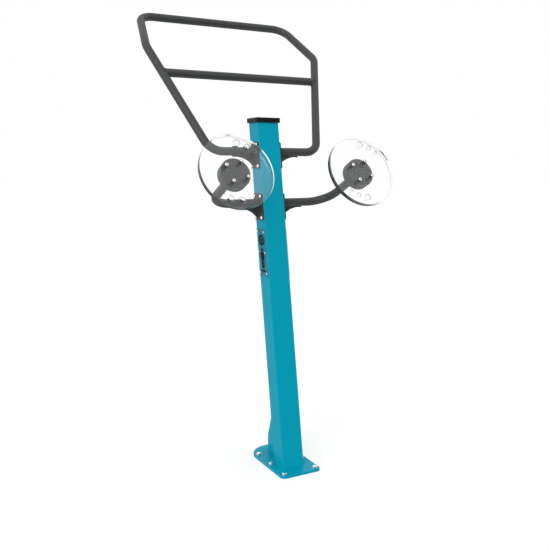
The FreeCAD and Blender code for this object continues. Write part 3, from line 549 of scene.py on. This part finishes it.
def edit_edges(piece, wanted):
    """Go into edit mode with the edges selected whose two ends pass a test."""
    choose(piece)
    bpy.ops.object.mode_set(mode="EDIT")
    bpy.ops.mesh.select_mode(type="EDGE")
    bpy.ops.mesh.select_all(action="DESELECT")
    leave_edit()
    points = piece.data.vertices
    for edge in piece.data.edges:
        edge.select = wanted(*(points[index].co for index in edge.vertices))
    bpy.ops.object.mode_set(mode="EDIT")


def bevel_edges(piece, wanted, width, steps):
    """Round the edges whose two ends pass a test."""
    edit_edges(piece, wanted)
    bpy.ops.mesh.bevel(offset=width, segments=steps, affect="EDGES")
    leave_edit()


def apply_modifier(piece, kind, **settings):
    """Add a modifier, set it up and apply it."""
    choose(piece)
    bpy.ops.object.modifier_add(type=kind)
    modifier = piece.modifiers[-1]
    for name, value in settings.items():
        setattr(modifier, name, value)
    bpy.ops.object.modifier_apply(modifier=modifier.name)


def face_out(piece):
    """Merge doubles and point every face outwards."""
    edit_all(piece)
    bpy.ops.mesh.remove_doubles(threshold=NEAR)
    bpy.ops.mesh.normals_make_consistent(inside=False)
    leave_edit()


def dress(piece, material, body):
    """Give a finished piece its material and its body."""
    piece.data.materials.clear()
    piece.data.materials.append(material)
    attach(piece, body)


def wheel_axle(side):
    """The middle of a disc's back, and the direction of the wheel's axle."""
    joint = next(item for item in frame["joints"] if item["name"] == f"{side}_wheel_spin")
    return Vector(joint["pos_m"]), Vector(joint["axis"]).normalized()


# The clear hand wheels

# Points round a disc's rim and round one of its holes
RIM_POINTS, HOLE_POINTS = 512, 64
# Steps across the rounding of the rim's edges and of the hole edges
RIM_STEPS, HOLE_STEPS = 4, 3
# Edges that turn more than the first angle are rounded, and more than the second stay sharp
ROUNDED_FROM, SHARP_FROM = math.radians(60), math.radians(40)
# Length of a drill in thicknesses of the disc, enough to pass right through
DRILL_LENGTH = 4
# How far a face's normal leans to a disc's axle: over FLAT on a face, under STEEP on a wall or rim
FLAT, STEEP = 0.97, 0.2
# The finishes of a disc beside its clear faces
DISC_TRIM = ("front_rim", "back_rim", "drilled_wall", "rounded_edge")


def drill_spots(wheel):
    """Angle, pitch circle and diameter of each hole in a disc."""
    bolts = [(wheel.turn + quarter * math.pi / 2, wheel.bolt_circle, wheel.bolt_hole)
             for quarter in range(4)]
    near_rim = [(wheel.turn + angle + group, wheel.hole_circle, size)
                for group in (0, wheel.group_turn)
                for angle, size in zip(wheel.hole_angles, wheel.hole_sizes)]
    return bolts + near_rim


def clear_disc(wheel):
    """A polished disc with its bolt holes and two groups of rim holes, in the wheel's own axes."""
    deselect()
    bpy.ops.mesh.primitive_cylinder_add(
        vertices=RIM_POINTS, radius=wheel.diameter / 2, depth=wheel.thickness,
        location=(0, 0, wheel.thickness / 2))
    disc = bpy.context.object
    settle()
    bevel_edges(disc, lambda a, b: abs(a.z - b.z) < NEAR, wheel.edge, RIM_STEPS)
    edit_all(disc)
    bpy.ops.mesh.bisect(plane_co=(0, 0, wheel.rim_split * wheel.thickness), plane_no=Z_AXIS)
    leave_edit()
    drills = []
    for angle, circle, size in drill_spots(wheel):
        deselect()
        bpy.ops.mesh.primitive_cylinder_add(
            vertices=HOLE_POINTS, radius=size / 2, depth=DRILL_LENGTH * wheel.thickness,
            location=(circle / 2 * math.cos(angle), circle / 2 * math.sin(angle), 0))
        drills.append(bpy.context.object)
    drill = join("drill", drills)
    apply_modifier(disc, "BOOLEAN", operation="DIFFERENCE", solver="EXACT", object=drill)
    bpy.data.objects.remove(drill)
    apply_modifier(disc, "BEVEL", width=wheel.hole_edge, segments=HOLE_STEPS, limit_method="ANGLE",
                   angle_limit=ROUNDED_FROM, use_clamp_overlap=False)
    face_out(disc)
    bpy.ops.object.shade_smooth_by_angle(angle=SHARP_FROM)
    apply_modifier(disc, "WEIGHTED_NORMAL", keep_sharp=True)
    return disc


def wheel_frame(side):
    """The matrix from a wheel's own axes, with Z along its axle, to the station's."""
    centre, axle = wheel_axle(side)
    turned = Matrix((X_AXIS, axle.cross(X_AXIS), axle)).transposed().to_4x4()
    return Matrix.Translation(centre) @ turned


def trim_disc(disc, wheel, side, made):
    """Finish a disc's rim and its rounded front edges, both with painted shade, and the walls of its
    holes.
    """
    for name in DISC_TRIM:
        disc.data.materials.append(made[name])
    centre, axle = wheel_axle(side)
    rim_from = wheel.diameter / 2 - 2 * wheel.edge
    for face in disc.data.polygons:
        lean = abs(face.normal.dot(axle))
        if lean > FLAT:
            continue
        spoke = face.center - centre
        height = spoke.dot(axle)
        reach = (spoke - axle * height).length
        front = height > wheel.rim_split * wheel.thickness
        # Rounded front edges take painted shade
        if front and lean > STEEP:
            name = "rounded_edge"
        elif reach < rim_from:
            name = "drilled_wall"
        else:
            # Both rim strips are painted shade
            name = "front_rim" if front else "back_rim"
        face.material_index = 1 + DISC_TRIM.index(name)


class STATION_OT_hand_wheels(bpy.types.Operator):
    """Model the two clear discs with their holes"""
    bl_idname = "station.hand_wheels"
    bl_label = "Hand wheels"

    def execute(self, context):
        wheel = context.scene.station_wheel
        master = clear_disc(wheel)
        made = finishes(context.scene)
        for side in SIDES:
            disc = copy_of(master, f"{side}_clear_disc")
            disc.matrix_world = wheel_frame(side)
            choose(disc)
            settle()
            dress(disc, made["clear_disc_plastic"], f"{side}_wheel")
            trim_disc(disc, wheel, side, made)
            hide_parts(f"{side}_wheel_disc")
            # Light passes through to the pieces and the floor behind
            disc.visible_shadow = False
            disc.visible_diffuse = False
        bpy.data.objects.remove(master)
        return {"FINISHED"}


# Weld beads

# Points along one ripple of a bead, and the fewest along a whole bead
RIPPLE_POINTS, FEWEST_POINTS = 4, 4
# Fineness of a bead's round section
BEAD_STEPS = 2
# Keeps the ends of an open bead blunt, as a share of a ripple
BLUNT_END = 0.1
# Points round a tube, and steps round a corner of the post
TUBE_POINTS, CORNER_STEPS = 96, 8


def spaced_points(path, closed, step):
    """Points spaced evenly along a path, each with its distance from the start, and the path's length."""
    path = [Vector(point) for point in path]
    if closed:
        path.append(path[0])
    legs = [(end - start).length for start, end in zip(path, path[1:])]
    total = sum(legs)
    count = max(FEWEST_POINTS, round(total / step))
    places = []
    leg, before = 0, 0.0
    for index in range(count if closed else count + 1):
        distance = total * index / count
        while leg < len(legs) - 1 and before + legs[leg] < distance:
            before += legs[leg]
            leg += 1
        places.append((path[leg].lerp(path[leg + 1], (distance - before) / legs[leg]), distance))
    return places, total


def bead(path, width, weld, closed=False):
    """One rippled bead along a path, tapered at open ends."""
    places, total = spaced_points(path, closed, weld.pitch / RIPPLE_POINTS)
    data = bpy.data.curves.new("bead", "CURVE")
    data.dimensions = "3D"
    data.bevel_depth = width / 2
    data.bevel_resolution = BEAD_STEPS
    data.use_fill_caps = True
    line = data.splines.new("POLY")
    line.points.add(len(places) - 1)
    line.use_cyclic_u = closed
    for point, (place, distance) in zip(line.points, places):
        point.co = (*place, 1)
        swell = 1 - weld.ripple * abs(math.cos(math.pi * distance / weld.pitch))
        from_end = min(distance, total - distance) / weld.pitch
        taper = 1 if closed else min(1, (from_end + BLUNT_END) ** 0.5)
        point.radius = swell * taper
    piece = bpy.data.objects.new("bead", data)
    bpy.context.collection.objects.link(piece)
    choose(piece)
    bpy.ops.object.convert(target="MESH")
    return bpy.context.object


def tube_turns():
    """The angles of the points round a tube."""
    return [2 * math.pi * index / TUBE_POINTS for index in range(TUBE_POINTS)]


def ring(centre, axis, radius):
    """Points round an axis."""
    first = axis.orthogonal().normalized()
    second = axis.cross(first)
    return [centre + radius * (math.cos(turn) * first + math.sin(turn) * second)
            for turn in tube_turns()]


def rounded_rectangle(centre, width, depth, corner):
    """Points round a level rectangle with round corners."""
    points = []
    for quarter, (x, y) in enumerate(((1, 1), (-1, 1), (-1, -1), (1, -1))):
        middle = centre + Vector((x * (width / 2 - corner), y * (depth / 2 - corner), 0))
        for step in range(CORNER_STEPS + 1):
            turn = math.pi / 2 * (quarter + step / CORNER_STEPS)
            points.append(middle + corner * Vector((math.cos(turn), math.sin(turn), 0)))
    return points


def weld_group(name, beads, material):
    """One node of beads that belong together."""
    piece = join(name, beads)
    face_out(piece)
    bpy.ops.object.shade_smooth()
    dress(piece, material, "frame")


def post_beads(weld):
    """Beads round the post's foot and on both sides of the fin."""
    post_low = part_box("post")[0]
    front, plate_top = post_low.y, post_low.z
    depth = weld.post_depth / math.cos(weld.post_lean)
    foot = Vector((0, front + depth / 2, plate_top))
    outline = rounded_rectangle(foot, span("post", ACROSS), depth, weld.post_corner)
    beads = [bead(outline, weld.post_bead, weld, closed=True)]
    low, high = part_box("rear_fin")
    rear = front + depth
    top = Vector((0, rear + (high.z - plate_top) * math.tan(weld.post_lean), high.z))
    for x in (low.x, high.x):
        inner = Vector((x, rear, plate_top))
        beads.append(bead([Vector((x, high.y, plate_top)), inner], weld.post_bead, weld))
        beads.append(bead([inner, top + Vector((x, 0, 0))], weld.post_bead, weld))
    return beads


def tube_radius():
    """The outer radius of every tube, read from the level crossbar."""
    return span("crossbar", UP) / 2


def bracket_beads(side, tube, weld):
    """Beads where a tube and its gusset meet a bracket plate."""
    sign = SIDES[side]
    radius = tube_radius()
    low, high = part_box(f"{side}_{tube}_gusset")
    face = sign * min(abs(low.x), abs(high.x))
    toe = sign * max(abs(low.x), abs(high.x))
    middle = (low.y + high.y) / 2
    half = (high.y - low.y) / 2
    run = "overhead_loop" if tube == "loop" else f"{side}_arm_tube"
    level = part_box(run)[0].z + radius
    centre = Vector((face, middle, level))
    beads = [bead(ring(centre, X_AXIS, radius), weld.tube_bead, weld, closed=True)]
    under = level - math.sqrt(radius ** 2 - half ** 2)
    for y in (middle - half, middle + half):
        corner = Vector((face, y, under))
        beads.append(bead([Vector((face, y, low.z)), corner], weld.tube_bead, weld))
        beads.append(bead([corner, Vector((toe, y, under))], weld.tube_bead, weld))
    return beads


def collar_bead(side, weld):
    """A bead of half the width round the end of an arm, at the spindle's collar."""
    disc_back, axle = wheel_axle(side)
    centre = disc_back - axle * weld.collar_back
    return bead(ring(centre, axle, tube_radius()), weld.tube_bead / 2, weld, closed=True)


def crossbar_bead(side, weld):
    """A bead round one end of the crossbar, where two equal tubes cross."""
    sign = SIDES[side]
    radius = tube_radius()
    low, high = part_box("crossbar")
    across, back, up = weld.side_run
    heading = Vector((sign * across, back, up)).normalized()
    joint = Vector((sign * high.x, (low.y + high.y) / 2, (low.z + high.z) / 2))
    points = []
    for turn in tube_turns():
        spoke = radius * Vector((0, math.cos(turn), math.sin(turn)))
        lift = spoke.dot(heading)
        inset = (lift * heading.x - sign * abs(lift)) / (1 - heading.x ** 2)
        points.append(joint + spoke + inset * X_AXIS)
    return bead(points, weld.tube_bead, weld, closed=True)


class STATION_OT_weld_beads(bpy.types.Operator):
    """Lay the painted weld beads at the post's foot, the fin, the brackets, arm ends and crossbar"""
    bl_idname = "station.weld_beads"
    bl_label = "Weld beads"

    def execute(self, context):
        weld = context.scene.station_weld
        made = finishes(context.scene)
        teal, grey = made["teal_powder_coat"], made["grey_powder_coat"]
        weld_group("post_welds", post_beads(weld), teal)
        for side in SIDES:
            for tube in ("loop", "arm"):
                beads = bracket_beads(side, tube, weld)
                weld_group(f"{side}_{tube}_welds", beads, grey)
            weld_group(f"{side}_collar_weld", [collar_bead(side, weld)], grey)
        ends = [crossbar_bead(side, weld) for side in SIDES]
        weld_group("crossbar_welds", ends, grey)
        return {"FINISHED"}


# Sign prints

INK_DEPTH = 0.0002
# Rounded bars of the print, a body, two legs and a line under them: distance across, distance up,
# width, height, and the lower end's share of the width
PRINT_BARS = (
    (0, -0.022, 0.044, 0.046, 0.6),
    (-0.0075, -0.063, 0.012, 0.034, 0.8),
    (0.0075, -0.063, 0.012, 0.034, 0.8),
    (0, -0.093, 0.052, 0.008, 1),
)
# Share of a bar's smaller side that the rounding of its corners takes, and the steps across it
BAR_ROUNDING, BAR_STEPS = 0.4, 6
# Round dots of the print, a head and a wheel's hub: distance across, distance up and radius
PRINT_DOTS = ((0, 0.0135, 0.0105), (0, 0.062, 0.0095))
# The ring of the print, a wheel round the upper dot: distance up, radius and half width
PRINT_RING = (0.062, 0.022, 0.006)
# Points round a dot, round the ring and round the ring's section
DOT_POINTS, RING_POINTS, SECTION_POINTS = 48, 64, 8


def print_bar(across, up, width, height, taper):
    """A flat bar with round corners, narrower at its lower end."""
    deselect()
    bpy.ops.mesh.primitive_cube_add(size=1, location=(across, up, INK_DEPTH / 2),
                                    scale=(width, height, INK_DEPTH))
    bar = bpy.context.object
    settle()
    edit_edges(bar, lambda a, b: max(a.y, b.y) < up)
    bpy.ops.transform.resize(value=(taper, 1, 1), center_override=(across, up, 0))
    leave_edit()
    rounding = BAR_ROUNDING * min(width * taper, height)
    bevel_edges(bar, lambda a, b: abs(a.z - b.z) > NEAR, rounding, BAR_STEPS)
    return bar


def print_dot(across, up, radius):
    """A flat round dot."""
    deselect()
    bpy.ops.mesh.primitive_cylinder_add(vertices=DOT_POINTS, radius=radius, depth=INK_DEPTH,
                                        location=(across, up, INK_DEPTH / 2))
    return bpy.context.object


def print_ring(up, radius, half_width):
    """A ring pressed as flat as the other marks."""
    deselect()
    bpy.ops.mesh.primitive_torus_add(
        major_radius=radius, minor_radius=half_width, major_segments=RING_POINTS,
        minor_segments=SECTION_POINTS, location=(0, up, INK_DEPTH / 2))
    flat_ring = bpy.context.object
    flat_ring.scale.z = INK_DEPTH / 2 / half_width
    settle()
    return flat_ring


class STATION_OT_signs(bpy.types.Operator):
    """Finish the signs and print a plain wheel, a figure and a line on them"""
    bl_idname = "station.signs"
    bl_label = "Signs"

    def execute(self, context):
        finish_nodes(context.scene, "sign_plastic")
        ink = finishes(context.scene)["black_sign_ink"]
        lean = math.tan(context.scene.station_weld.post_lean)
        parts = [print_bar(*bar) for bar in PRINT_BARS] + [print_dot(*dot) for dot in PRINT_DOTS]
        master = join("print", [*parts, print_ring(*PRINT_RING)])
        for side, sign in SIDES.items():
            low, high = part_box(f"{side}_sign")
            middle = (low + high) / 2
            face = sign * max(abs(low.x), abs(high.x))
            # Columns: across the sign, up along the leaning post, out of the face, and the place
            turned = Matrix(((0, 0, sign, face), (sign, lean, 0, middle.y), (0, 1, 0, middle.z),
                             (0, 0, 0, 1)))
            mark = copy_of(master, f"{side}_sign_print")
            mark.data.transform(turned)
            face_out(mark)
            dress(mark, ink, "frame")
        bpy.data.objects.remove(master)
        return {"FINISHED"}


# Finishes of the frame's own nodes

class STATION_OT_painted_steel(bpy.types.Operator):
    """Paint the base plate, the fin, the post, the tubes, the brackets and the hubs"""
    bl_idname = "station.painted_steel"
    bl_label = "Painted steel"

    def execute(self, context):
        finish_nodes(context.scene, "teal_paint", "grey_paint")
        return {"FINISHED"}


class STATION_OT_hardware(bpy.types.Operator):
    """Finish the bolts, nuts, washers, bearings, seals, the post cap and the frame's plain discs"""
    bl_idname = "station.hardware"
    bl_label = "Hardware and cap"

    def execute(self, context):
        finish_nodes(context.scene, "stainless", "bearing_steel", "black_rubber", "black_plastic",
                     "clear_plastic")
        return {"FINISHED"}


# The studio

# How far the floor lies under the base plate
FLOOR_DROP = 0.001
# Cloth of the dark screen
CLOTH_COLOUR, CLOTH_ROUGHNESS = (0.01, 0.01, 0.01, 1), 0.9
# Width of the camera's sensor, in millimetres
SENSOR_WIDTH = 36


def seen_ray(start):
    """1 for rays of the camera, mirror rays and rays through clear pieces, else 0."""
    seen = start.node("ShaderNodeLightPath", output="Is Camera Ray")
    outputs = seen.socket.node.outputs
    for name in ("Is Glossy Ray", "Is Transmission Ray"):
        seen = start.maths("MAXIMUM", seen, Wire(start.tree, outputs[name]))
    return seen


def surroundings(studio):
    """A white background that lights the station softly, nearly alike from all sides."""
    world = bpy.data.worlds.new("studio")
    world.use_nodes = True
    tree = world.node_tree
    start = Wire(tree)
    direction = start.node("ShaderNodeTexCoord", output="Generated")
    height = start.node("ShaderNodeSeparateXYZ", sockets={0: direction}, output="Z")
    sky = start.node("ShaderNodeMapRange", sockets={
        "Value": height, "To Min": studio.sky_low, "To Max": studio.sky_high})
    light = start.node("ShaderNodeBackground", sockets={"Color": WHITE, "Strength": sky})
    white = start.node("ShaderNodeBackground", sockets={"Color": WHITE})
    both = start.node("ShaderNodeMixShader", sockets={0: seen_ray(start), 1: light, 2: white})
    start.feed(tree.nodes["World Output"].inputs["Surface"], both)
    bpy.context.scene.world = world


def floor(studio):
    """A plain pale floor that shows white and keeps the station's shadow."""
    deselect()
    bpy.ops.mesh.primitive_plane_add(size=studio.floor_size, location=(0, 0, -FLOOR_DROP))
    plane = bpy.context.object
    plane.name = "studio_floor"
    material = bpy.data.materials.new("pale_floor")
    material.use_nodes = True
    tree = material.node_tree
    tree.nodes.remove(tree.nodes["Principled BSDF"])
    start = Wire(tree)
    matt = start.node("ShaderNodeBsdfDiffuse", sockets={"Color": shaded(WHITE, studio.floor_grey)})
    glow = start.node("ShaderNodeEmission", sockets={"Strength": seen_ray(start) * studio.floor_glow})
    both = start.node("ShaderNodeAddShader", sockets={0: matt, 1: glow})
    start.feed(tree.nodes["Material Output"].inputs["Surface"], both)
    plane.data.materials.append(material)


def dark_screen(studio):
    """A dark screen before the station that only mirror rays see, so the front faces stay deep."""
    deselect()
    bpy.ops.mesh.primitive_plane_add(size=1, location=studio.screen_place,
                                     rotation=(math.pi / 2, 0, 0))
    screen = bpy.context.object
    screen.name = "dark_screen"
    screen.scale = (*studio.screen_size, 1)
    settle()
    cloth = Finish("dark_cloth")
    screen.data.materials.append(
        cloth.surface(Base_Color=CLOTH_COLOUR, Roughness=CLOTH_ROUGHNESS))
    screen.visible_camera = screen.visible_diffuse = screen.visible_transmission = False
    screen.visible_shadow = False


def key_lamp(studio):
    """A broad soft lamp at the front left."""
    turn = Vector(studio.key_from).to_track_quat("Z", "Y").to_euler()
    bpy.ops.object.light_add(type="SUN", rotation=turn)
    lamp = bpy.context.object
    lamp.name = "key_lamp"
    lamp.data.energy = studio.key
    lamp.data.angle = studio.key_spread


def station_camera(studio):
    """The camera, with its lens measured across the width of the picture."""
    bpy.ops.object.camera_add(location=studio.camera_place, rotation=studio.camera_turn)
    camera = bpy.context.object
    camera.name = "station_camera"
    camera.data.sensor_fit = "HORIZONTAL"
    camera.data.sensor_width = SENSOR_WIDTH
    camera.data.lens = studio.camera_lens
    bpy.context.scene.camera = camera


class STATION_OT_stage(bpy.types.Operator):
    """Set up the floor, the dark screen, the light and the camera"""
    bl_idname = "station.stage"
    bl_label = "Stage"

    def execute(self, context):
        studio = context.scene.station_studio
        context.scene.view_settings.view_transform = "Standard"
        surroundings(studio)
        floor(studio)
        dark_screen(studio)
        key_lamp(studio)
        station_camera(studio)
        return {"FINISHED"}


class STATION_PT_panel(bpy.types.Panel):
    """The station's steps and settings"""
    bl_idname = "STATION_PT_panel"
    bl_label = "Fitness station"
    bl_space_type = "VIEW_3D"
    bl_region_type = "UI"
    bl_category = "Station"

    def draw(self, context):
        for step in STEPS:
            self.layout.operator(step.bl_idname)
        for name, group in GROUPS.items():
            box = self.layout.box()
            box.label(text=group.__doc__)
            settings = getattr(context.scene, name)
            for key in group.__annotations__:
                box.prop(settings, key)


GROUPS = {
    "station_finish": StationFinish,
    "station_wheel": StationWheel,
    "station_weld": StationWeld,
    "station_studio": StationStudio,
}
STEPS = (STATION_OT_painted_steel, STATION_OT_hardware, STATION_OT_hand_wheels, STATION_OT_weld_beads,
         STATION_OT_signs, STATION_OT_stage)
CLASSES = (*GROUPS.values(), *STEPS, STATION_PT_panel)


def register():
    for item in CLASSES:
        bpy.utils.register_class(item)
    for name, group in GROUPS.items():
        setattr(bpy.types.Scene, name, bpy.props.PointerProperty(type=group))


def unregister():
    for name in GROUPS:
        delattr(bpy.types.Scene, name)
    for item in reversed(CLASSES):
        bpy.utils.unregister_class(item)


def main():
    register()
    bpy.ops.station.painted_steel()
    bpy.ops.station.hardware()
    bpy.ops.station.hand_wheels()
    bpy.ops.station.weld_beads()
    bpy.ops.station.signs()
    bpy.ops.station.stage()


if __name__ == "__main__":
    main()
